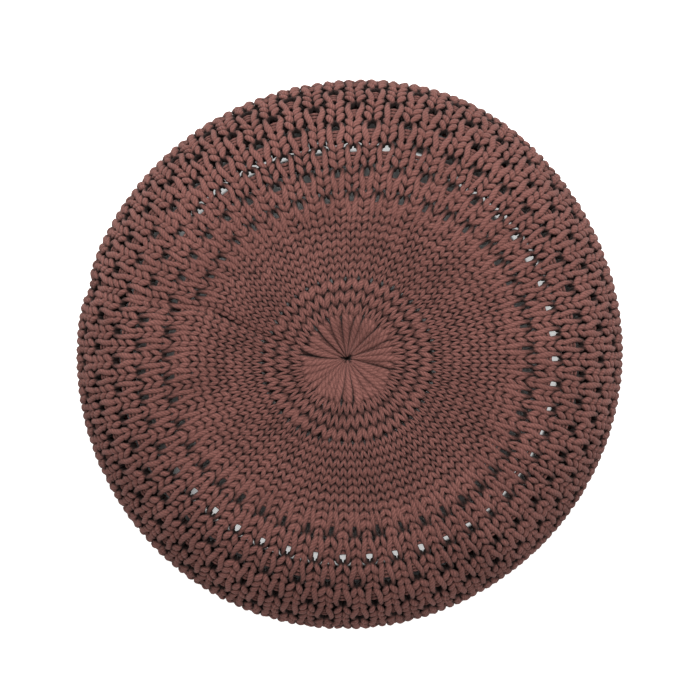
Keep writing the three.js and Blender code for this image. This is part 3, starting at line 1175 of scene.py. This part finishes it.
@dataclass
class ClosingThread:
    """The thread that draws the centre in: wraps that climb through the pinch and a knot under the crown.

    The knot is a trefoil, whose lobes reach out by knot_lobe, as a share of its radius. sunk is how far
    outside the cloth's middle the thread counts as lying, which sets how much painted shade it gets.
    """

    knot_radius: float = 2.3 * MM
    knot_lobe: float = 0.42
    knot_level: float = 1.2 * MM
    knot_rise: float = 0.7 * MM
    knot_thread_radius: float = 0.546 * MM
    knot_points: int = 90
    wraps: int = 3
    wrap_radius: float = 0.7 * MM
    wrap_taper: float = 0.3
    wrap_level: float = 1.5 * MM
    wrap_top_gap: float = 1.1 * MM
    wrap_thread_radius: float = 0.75 * MM
    wrap_points: int = 40
    sunk: float = -1.2 * MM

    def build(self, tree: LaidYarnTree, thread: bpy.types.Material) -> None:
        """Lays the knot and the wraps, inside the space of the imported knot.

        Args:
            tree: the laid yarn's geometry nodes.
            thread: the thread's material.
        """
        low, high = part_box("closing_knot")
        middle = (low + high) / 2
        lines = YarnLines("closing_thread", sides=6)
        up = np.array([0, 0, 1])
        turn = np.linspace(0, TAU, self.knot_points)
        reach = self.knot_radius * (1 + self.knot_lobe * np.cos(3 * turn))
        level = low.z + self.knot_level + self.knot_rise * np.sin(3 * turn)
        x, y = middle.x + reach * np.cos(2 * turn), middle.y + reach * np.sin(2 * turn)
        lines.lay(np.stack([x, y, level], axis=-1), self.knot_thread_radius, up, self.sunk)
        climb = np.linspace(0, 1, self.wrap_points)
        wind = TAU * self.wraps * climb
        reach = self.wrap_radius * (1 - self.wrap_taper * climb)
        level = low.z + self.wrap_level + (high.z - low.z - self.wrap_level - self.wrap_top_gap) * climb
        x, y = middle.x + reach * np.cos(wind), middle.y + reach * np.sin(wind)
        lines.lay(np.stack([x, y, level], axis=-1), self.wrap_thread_radius, up, self.sunk)
        lines.finish(tree, thread, "closing_knot", "thread")


@dataclass
class Cap:
    """The knitted courses: wide ones round the gather, the plain crown, the openwork and the welt.

    first_eyelet_row is how far down the fabric the first row of eyelets lies, and eyelet_place where in
    its three courses a row of eyelets shows. float_places says how many courses down in a row of eyelets
    each float lies. The legs and the floats are given by their greatest radius.
    """

    fabric: Fabric
    wide_wales: int = 47
    wide_course_height: float = 4.6 * MM
    wide_courses: int = 3
    crown_courses: int = 8
    eyelet_rows: int = 8
    courses_per_row: int = 3
    first_eyelet_row: float = 61 * MM
    eyelet_row_spacing: float = 9.8 * MM
    eyelet_place: float = 0.83
    welt_courses: int = 8
    edge_allowance: float = 4.2 * MM
    wide_leg: float = 1.15 * MM
    openwork_leg: float = 1.08 * MM
    openwork_arc: float = 1 * MM
    wall_leg: float = 1.2 * MM
    float_radius: float = 0.7 * MM
    zigzag: float = 0.08
    float_places: tuple[float, ...] = (0.7, 1.15, 1.6)

    def nets(self) -> tuple[Net, Net]:
        """Lays the net of the wide courses and the net of all that follows.

        Returns:
            The two nets.
        """
        gather = self.fabric.gather_radius
        wide = gather + self.wide_course_height * np.arange(self.wide_courses + 1)
        openwork = self.first_eyelet_row - self.eyelet_place * self.eyelet_row_spacing
        welt = openwork + self.eyelet_rows * self.eyelet_row_spacing
        edges = [
            np.linspace(wide[-1], openwork, self.crown_courses + 1),
            np.linspace(openwork, welt, self.eyelet_rows * self.courses_per_row + 1)[1:],
            np.linspace(welt, self.fabric.length - self.edge_allowance, self.welt_courses + 1)[1:],
        ]
        wide_net = Net("wide_net", self.fabric, self.wide_wales, wide)
        full_net = Net(
            "full_net",
            self.fabric,
            2 * self.wide_wales,
            np.concatenate(edges),
            zigzag=self.zigzag,
            zigzag_start=self.first_eyelet_row,
            zigzag_spacing=self.eyelet_row_spacing,
            zigzag_end=welt,
            seed=8,
        )
        return wide_net, full_net

    def openwork_row(self, piece: KnittedPiece, floats: KnittedPiece, row: int) -> None:
        """Knits the three courses of one row of eyelets.

        Args:
            piece: the piece that their stitches belong to.
            floats: the piece that their floats belong to.
            row: the row's number, from 0.
        """
        wales = np.arange(2 * self.wide_wales)
        held, worked = wales[wales % 2 == row % 2], wales[wales % 2 != row % 2]
        first = self.crown_courses + row * self.courses_per_row
        piece.knit(Stitch.HELD, first, held)
        piece.knit(Stitch.AFTER_EYELET if row else Stitch.OPEN, first, worked)
        for course in range(first + 1, first + self.courses_per_row):
            piece.knit(Stitch.OPEN, course, worked)
        for place in self.float_places:
            floats.knit(Stitch.FLOAT, first + place, held)

    def knit_plain(self, piece: KnittedPiece, courses: range) -> KnittedPiece:
        """Knits whole courses of plain stitches.

        Args:
            piece: the piece that they belong to.
            courses: the courses' numbers.

        Returns:
            The same piece.
        """
        for course in courses:
            piece.knit(Stitch.PLAIN, course, np.arange(piece.net.wales))
        return piece

    def knit_openwork(self, net: Net, tree: LoopTree, yarn: bpy.types.Material) -> None:
        """Knits the rows of eyelets, as three pieces and one more for their floats.

        Args:
            net: the net that they lie on.
            tree: the loops' geometry nodes.
            yarn: the yarn's material.
        """
        thin = self.float_radius
        floats = KnittedPiece(
            "ladder_floats", net, widest_leg=thin, deepest_leg=thin, arc_radius=thin, steps=6, seed=35
        )
        pieces = (
            ("openwork_upper", range(0, 3), self.openwork_leg, 41),
            ("openwork_middle", range(3, 6), self.wall_leg, 51),
            ("openwork_lower", range(6, self.eyelet_rows), self.wall_leg, 61),
        )
        for name, rows, leg, seed in pieces:
            piece = KnittedPiece(name, net, widest_leg=leg, arc_radius=self.openwork_arc, seed=seed)
            for row in rows:
                self.openwork_row(piece, floats, row)
            piece.finish(tree, yarn)
        floats.finish(tree, yarn)

    def knit_welt(self, net: Net) -> KnittedPiece:
        """Knits the plain welt, whose first course closes the last row of eyelets.

        Args:
            net: the net that it lies on.

        Returns:
            The piece, not yet finished.
        """
        welt = KnittedPiece("plain_welt", net, widest_leg=self.wall_leg, seed=81)
        start = self.crown_courses + self.eyelet_rows * self.courses_per_row
        wales = np.arange(net.wales)
        was_held = wales % 2 == (self.eyelet_rows - 1) % 2
        welt.knit(Stitch.AFTER_EYELET, start, wales[was_held])
        welt.knit(Stitch.PLAIN, start, wales[~was_held])
        return self.knit_plain(welt, range(start + 1, start + self.welt_courses))

    def build(self, tree: LoopTree, yarn: bpy.types.Material) -> None:
        """Knits the cap from the centre outwards.

        Args:
            tree: the loops' geometry nodes.
            yarn: the yarn's material.
        """
        wide_net, full_net = self.nets()
        wide = KnittedPiece("wide_courses", wide_net, widest_leg=self.wide_leg, seed=21)
        self.knit_plain(wide, range(self.wide_courses)).finish(tree, yarn)
        crown = KnittedPiece("crown_courses", full_net, seed=31)
        self.knit_plain(crown, range(self.crown_courses)).finish(tree, yarn)
        self.knit_openwork(full_net, tree, yarn)
        self.knit_welt(full_net).finish(tree, yarn)
        for net in (wide_net, full_net):
            bpy.data.objects.remove(net.obj)


@dataclass(frozen=True)
class PliedYarnGroup:
    """The shader group for plied yarn: twisted plies, fine fibres, slow changes of tone, painted shade in
    the grooves between the plies and painted shade deep in the cloth.

    fibres_along is how many fibre flecks lie in a metre of yarn and fibres_across how many across one
    ply. fluff_size is the scale of the fluff that stands off the yarn. The shares say how far the fluff
    changes the tone and the height at which the painted shade starts, and tone_share how far the tone drifts.
    """

    ply_roundness: float = 0.6
    fibres_along: float = 900.0
    fibres_across: float = 9.0
    fluff_size: float = 2600.0
    tone_share: float = 0.5
    fluff_in_tone: float = 0.6
    fluff_in_height: float = 0.35

    def noise(self, bench: Bench, place: object, scale: object, detail: float) -> bpy.types.NodeSocket:
        """Adds a noise that varies about 0.

        Args:
            bench: what adds the nodes.
            place: where the noise is read.
            scale: how fine it is.
            detail: how many finer layers it has.

        Returns:
            The noise.
        """
        inputs = {"Vector": place, "Scale": scale, "Detail": detail}
        return bench.math("SUBTRACT", bench.add("ShaderNodeTexNoise", inputs).outputs[0], 0.5)

    def build(self) -> bpy.types.NodeTree:
        """Builds the group.

        Returns:
            The group, which puts out the yarn's relief, its tone, the mask of its painted crease shade and
            the mask of its painted shade.
        """
        tree = bpy.data.node_groups.new("plied yarn", "ShaderNodeTree")
        bench = Bench(tree)
        names = ("Plies", "Twist pitch", "Fibre", "Tone size", "Darkest height", "Lightest height")
        given = bench.sockets("INPUT", {name: "Float" for name in names}).outputs
        kinds = {"Relief": "Float", "Tone": "Float", "Crease": "Float", "Shade": "Float"}
        result = bench.sockets("OUTPUT", kinds).inputs
        uv = bench.add("ShaderNodeSeparateXYZ", {0: bench.add("ShaderNodeUVMap", uv_map="UVMap").outputs[0]})
        place = bench.add("ShaderNodeTexCoord").outputs["Object"]
        turns = bench.math("DIVIDE", uv.outputs["X"], given["Twist pitch"])
        phase = bench.math("MULTIPLY", bench.math("ADD", uv.outputs["Y"], turns), given["Plies"])
        ridge = bench.math("ABSOLUTE", bench.math("SINE", bench.math("MULTIPLY", phase, math.pi)))
        round_ply = bench.math("POWER", ridge, self.ply_roundness)
        along = bench.math("MULTIPLY", uv.outputs["X"], self.fibres_along)
        across = bench.math("MULTIPLY", phase, self.fibres_across)
        lay = bench.add("ShaderNodeCombineXYZ", {"X": along, "Y": across, "Z": 0.0}).outputs[0]
        hair = bench.math("MULTIPLY", self.noise(bench, lay, 1.0, 2.0), given["Fibre"])
        fuzz = bench.math("MULTIPLY", self.noise(bench, place, self.fluff_size, 2.0), given["Fibre"])
        drift = self.noise(bench, place, given["Tone size"], 3.0)
        gentle = bench.math("MULTIPLY_ADD", drift, self.tone_share, 0.5)
        fluff = bench.math("MULTIPLY", fuzz, self.fluff_in_tone)
        # the mask of the painted shade, from the height that the geometry stores
        height = bench.add("ShaderNodeAttribute", attribute_name="height").outputs["Fac"]
        fuzzy_height = bench.math("MULTIPLY_ADD", fuzz, self.fluff_in_height, bench.math("ABSOLUTE", height))
        ends = {"From Min": given["Darkest height"], "From Max": given["Lightest height"]}
        inputs = {"Value": fuzzy_height, **ends}
        light = bench.add("ShaderNodeMapRange", inputs, interpolation_type="SMOOTHSTEP").outputs[0]
        bench.feed(result["Relief"], bench.math("ADD", round_ply, bench.math("ADD", hair, fuzz)))
        bench.feed(result["Tone"], bench.math("ADD", gentle, bench.math("ADD", hair, fluff)))
        # the mask of the painted shade in the grooves between the plies
        bench.feed(result["Crease"], bench.math("SUBTRACT", 1, round_ply))
        bench.feed(result["Shade"], bench.math("SUBTRACT", 1, light))
        return tree


@dataclass(frozen=True)
class YarnFinish:
    """The look of one yarn.

    The heights are in half thicknesses of the cloth, taken on either side of its middle: at and below the
    darkest one the yarn is painted fully in the shade colour, a painted shade, and at the lightest one the
    yarn has its own colour. The crease colour is a painted shade in the grooves between the plies.
    """

    name: str = "brown_plied_yarn"
    dark: tuple[float, float, float] = (0.152, 0.060, 0.050)
    light: tuple[float, float, float] = (0.280, 0.117, 0.099)
    tone_range: tuple[float, float] = (0.3, 0.7)
    crease_shade: tuple[float, float, float] = (0.075, 0.027, 0.023)
    crease_shade_share: float = 0.7
    shade: tuple[float, float, float] = (0.0105, 0.0055, 0.005)
    plies: float = 5.0
    twist_pitch: float = 9 * MM
    fibre: float = 1.1
    tone_size: float = 60.0
    darkest_height: float = 0.34
    lightest_height: float = 0.94
    relief: float = 0.22 * MM
    relief_strength: float = 0.8
    roughness: float = 0.88
    specular: float = 0.12
    sheen: float = 0.12
    sheen_roughness: float = 0.45
    sheen_tint: tuple[float, float, float] = (0.75, 0.6, 0.56)

    def material(self, group: bpy.types.NodeTree) -> bpy.types.Material:
        """Makes the material.

        Args:
            group: the shader group for plied yarn.

        Returns:
            The material.
        """
        made = bpy.data.materials.new(self.name)
        made.use_nodes = True
        made.diffuse_color = (*self.light, 1)
        bench = Bench(made.node_tree)
        shader = made.node_tree.nodes["Principled BSDF"].inputs
        values = {
            "Plies": self.plies,
            "Twist pitch": self.twist_pitch,
            "Fibre": self.fibre,
            "Tone size": self.tone_size,
            "Darkest height": self.darkest_height,
            "Lightest height": self.lightest_height,
        }
        plied = bench.add("ShaderNodeGroup", node_tree=group)
        for key, value in values.items():
            plied.inputs[key].default_value = value
        ramp = bench.add("ShaderNodeValToRGB", {0: plied.outputs["Tone"]})
        low, high = ramp.color_ramp.elements
        low.position, low.color = self.tone_range[0], (*self.dark, 1)
        high.position, high.color = self.tone_range[1], (*self.light, 1)
        # painted shade: the grooves between the plies are mixed towards the crease colour
        between = bench.math("MULTIPLY", plied.outputs["Crease"], self.crease_shade_share)
        inputs = {0: between, 6: ramp.outputs[0], 7: (*self.crease_shade, 1)}
        plain = bench.add("ShaderNodeMix", inputs, data_type="RGBA").outputs[2]
        # painted shade: yarn that lies near the cloth's middle is mixed towards the shade colour
        inputs = {0: plied.outputs["Shade"], 6: plain, 7: (*self.shade, 1)}
        colour = bench.add("ShaderNodeMix", inputs, data_type="RGBA").outputs[2]
        inputs = {"Height": plied.outputs["Relief"], "Distance": self.relief}
        inputs["Strength"] = self.relief_strength
        bench.feed(shader["Base Color"], colour)
        bench.feed(shader["Normal"], bench.add("ShaderNodeBump", inputs).outputs[0])
        shader["Roughness"].default_value = self.roughness
        shader["Specular IOR Level"].default_value = self.specular
        shader["Sheen Weight"].default_value = self.sheen
        shader["Sheen Roughness"].default_value = self.sheen_roughness
        shader["Sheen Tint"].default_value = (*self.sheen_tint, 1)
        return made


@dataclass(frozen=True)
class FloorFinish:
    """A plain white table top. Under the cap a ring inside the rim carries a painted pool of light, a glow
    that only the camera sees; the rest of the table under the cap has no glow.

    ring holds the radii where that painted light starts, is full, starts to fade and ends. painted_dark_side
    holds where it starts and is full along X, so that the painted light is gone on the left. Outside
    open_radius the table is as bright as open_glow.
    """

    colour: tuple[float, float, float] = (0.86, 0.86, 0.85)
    painted_glow: float = 0.62
    ring: tuple[float, float, float, float] = (68.4 * MM, 69.4 * MM, 71.8 * MM, 72.8 * MM)
    painted_dark_side: tuple[float, float] = (-62 * MM, -44 * MM)
    centre: tuple[float, float, float] = (-1 * MM, 0.5 * MM, 0.0)
    open_radius: float = 84 * MM
    open_glow: float = 0.9
    roughness: float = 0.9

    def material(self) -> bpy.types.Material:
        """Makes the material.

        Returns:
            The material.
        """
        made = bpy.data.materials.new("white_table")
        made.use_nodes = True
        bench = Bench(made.node_tree)
        shader = made.node_tree.nodes["Principled BSDF"].inputs
        shader["Base Color"].default_value = (*self.colour, 1)
        shader["Roughness"].default_value = self.roughness
        shader["Emission Color"].default_value = (*self.colour, 1)
        place = bench.vector("SUBTRACT", bench.add("ShaderNodeTexCoord").outputs["Object"], self.centre)
        radius = bench.add("ShaderNodeVectorMath", {0: place}, operation="LENGTH").outputs["Value"]
        x = bench.add("ShaderNodeSeparateXYZ", {0: place}).outputs["X"]
        # painted pool of light: a glow that only the camera sees, in a ring under the cap, faded out on the
        # left
        inner, outer = self.ring[:2], self.ring[:1:-1]
        painted_light = bench.math("MULTIPLY", self.step(bench, radius, inner), self.step(bench, radius, outer))
        painted_light = bench.math("MULTIPLY", painted_light, self.step(bench, x, self.painted_dark_side))
        outside = bench.math("GREATER_THAN", radius, self.open_radius)
        strength = bench.math("MULTIPLY_ADD", outside, self.open_glow, bench.math("MULTIPLY", painted_light, self.painted_glow))
        seen = bench.add("ShaderNodeLightPath").outputs["Is Camera Ray"]
        bench.feed(shader["Emission Strength"], bench.math("MULTIPLY", seen, strength))
        return made

    def step(self, bench: Bench, value: object, ends: tuple[float, float]) -> bpy.types.NodeSocket:
        """Rises smoothly from 0 at the first end to 1 at the second, whichever is greater.

        Args:
            bench: what adds the nodes.
            value: what the step is read at.
            ends: the two ends.

        Returns:
            The height of the step.
        """
        start, end = min(ends), max(ends)
        inputs = {"Value": value, "From Min": start, "From Max": end}
        risen = bench.add("ShaderNodeMapRange", inputs, interpolation_type="SMOOTHSTEP").outputs[0]
        return risen if ends[0] < ends[1] else bench.math("SUBTRACT", 1, risen)


@dataclass
class Studio:
    """The table, the soft light and the camera straight above.

    frame_width is how much the picture takes in at frame_level, the height at which the cap's outline lies.
    """

    floor_size: float = 6.0
    camera_height: float = 3.0
    frame_width: float = 235 * MM
    frame_level: float = 50 * MM
    camera_offset: tuple[float, float] = (0.17 * MM, 1.5 * MM)
    sensor: float = 36.0
    farthest: float = 10.0
    key_size: float = 1.0
    key_place: tuple[float, float, float] = (0.1, 1.0, 1.3)
    key_power: float = 27.0
    fill_strength: float = 0.66

    def build(self) -> None:
        """Sets the table, the light and the camera."""
        self.table()
        self.light("key_light", self.key_place, self.key_size, self.key_power)
        self.world()
        self.camera()

    def table(self) -> None:
        """Lays the table top."""
        half = self.floor_size / 2
        mesh = bpy.data.meshes.new("table")
        corners = [(-half, -half, 0), (half, -half, 0), (half, half, 0), (-half, half, 0)]
        mesh.from_pydata(corners, [], [(0, 1, 2, 3)])
        mesh.materials.append(FloorFinish().material())
        table = bpy.data.objects.new("table", mesh)
        bpy.context.scene.collection.objects.link(table)

    def light(self, name: str, place: tuple[float, float, float], size: float, power: float) -> None:
        """Hangs one soft square light that faces the cap.

        Args:
            name: its name.
            place: where it hangs.
            size: the length of its side.
            power: its power in watts.
        """
        lamp = bpy.data.lights.new(name, "AREA")
        lamp.size = size
        lamp.energy = power
        hung = bpy.data.objects.new(name, lamp)
        hung.location = place
        towards = -Vector(place)
        hung.rotation_mode = "QUATERNION"
        hung.rotation_quaternion = towards.to_track_quat("-Z", "Y")
        bpy.context.scene.collection.objects.link(hung)

    def world(self) -> None:
        """Fills the room with even soft light."""
        world = bpy.data.worlds.new("soft_room")
        world.use_nodes = True
        background = world.node_tree.nodes["Background"]
        background.inputs["Color"].default_value = (1, 1, 1, 1)
        background.inputs["Strength"].default_value = self.fill_strength
        bpy.context.scene.world = world
        bpy.context.scene.view_settings.view_transform = "Standard"

    def camera(self) -> None:
        """Hangs the camera straight above the cap."""
        lens = bpy.data.cameras.new("camera")
        lens.sensor_width = self.sensor
        lens.lens = self.sensor * (self.camera_height - self.frame_level) / self.frame_width
        lens.clip_end = self.farthest
        camera = bpy.data.objects.new("camera", lens)
        camera.location = (*self.camera_offset, self.camera_height)
        bpy.context.scene.collection.objects.link(camera)
        bpy.context.scene.camera = camera


def main() -> None:
    """Sets the table, the light and the camera, then builds the cap."""
    logging.basicConfig(level=logging.INFO, format="%(name)s %(message)s")
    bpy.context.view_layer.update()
    Studio().build()
    group = PliedYarnGroup().build()
    yarn = YarnFinish().material(group)
    thread = YarnFinish(name="brown_thread", plies=3, twist_pitch=4 * MM, relief=0.08 * MM).material(group)
    fabric = Fabric.on_frame()
    laid, loops = LaidYarnTree(), LoopTree()
    Gather(fabric).build(laid, yarn)
    Cap(fabric).build(loops, yarn)
    BackSeam(fabric).build(laid, yarn)
    LowerEdge(fabric).build(laid, yarn)
    ClosingThread().build(laid, thread)


if __name__ == "__main__":
    main()
